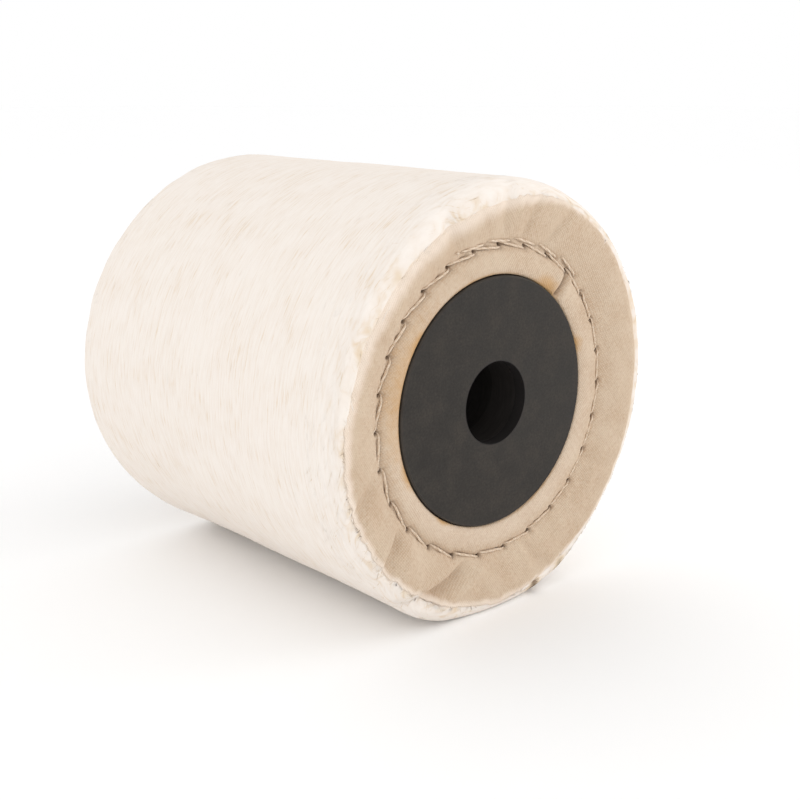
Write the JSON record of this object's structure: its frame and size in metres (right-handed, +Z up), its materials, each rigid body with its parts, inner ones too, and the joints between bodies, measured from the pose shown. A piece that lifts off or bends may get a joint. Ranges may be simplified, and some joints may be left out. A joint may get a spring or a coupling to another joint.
{
  "type": "polishing wheel",
  "caption": "Wide drum-shaped polishing wheel of sewn cotton cloth with a brushed rim, on a core tube between bored fibre end plates.",
  "frame": {"origin": "middle of the bore, half way between the two end plates", "axes": "+Y along the spindle bore from the front plate to the back plate, +Z up as the wheel lies on its rim, +X to the right seen from the front plate"},
  "size_m": [0.1, 0.096, 0.0994],
  "materials": {
    "brushed_calico": "brushed to a soft nap",
    "cover_calico": "unbleached plain weave",
    "sewing_thread": "twisted cotton thread",
    "vulcanised_fibre": "matt pressed sheet",
    "wound_card": "smooth resin-bonded wrap",
    "hide_glue": "amber, dried"
  },
  "bodies": {
    "root": {"core_tube": "wound_card", "front_plate": "vulcanised_fibre", "back_plate": "vulcanised_fibre", "front_glue_film": "hide_glue", "back_glue_film": "hide_glue", "front_cover_ply": "cover_calico", "back_cover_ply": "cover_calico", "cloth_section_01": "brushed_calico", "cloth_section_02": "brushed_calico", "cloth_section_03": "brushed_calico", "cloth_section_04": "brushed_calico", "cloth_section_05": "brushed_calico", "cloth_section_06": "brushed_calico", "cloth_section_07": "brushed_calico", "cloth_section_08": "brushed_calico", "cloth_section_09": "brushed_calico", "cloth_section_10": "brushed_calico", "seam_thread_01": "sewing_thread", "seam_thread_02": "sewing_thread", "seam_thread_03": "sewing_thread", "seam_thread_04": "sewing_thread", "seam_thread_05": "sewing_thread", "seam_thread_06": "sewing_thread", "seam_thread_07": "sewing_thread", "seam_thread_08": "sewing_thread", "seam_thread_09": "sewing_thread", "seam_thread_10": "sewing_thread"}
  },
  "joints": []
}
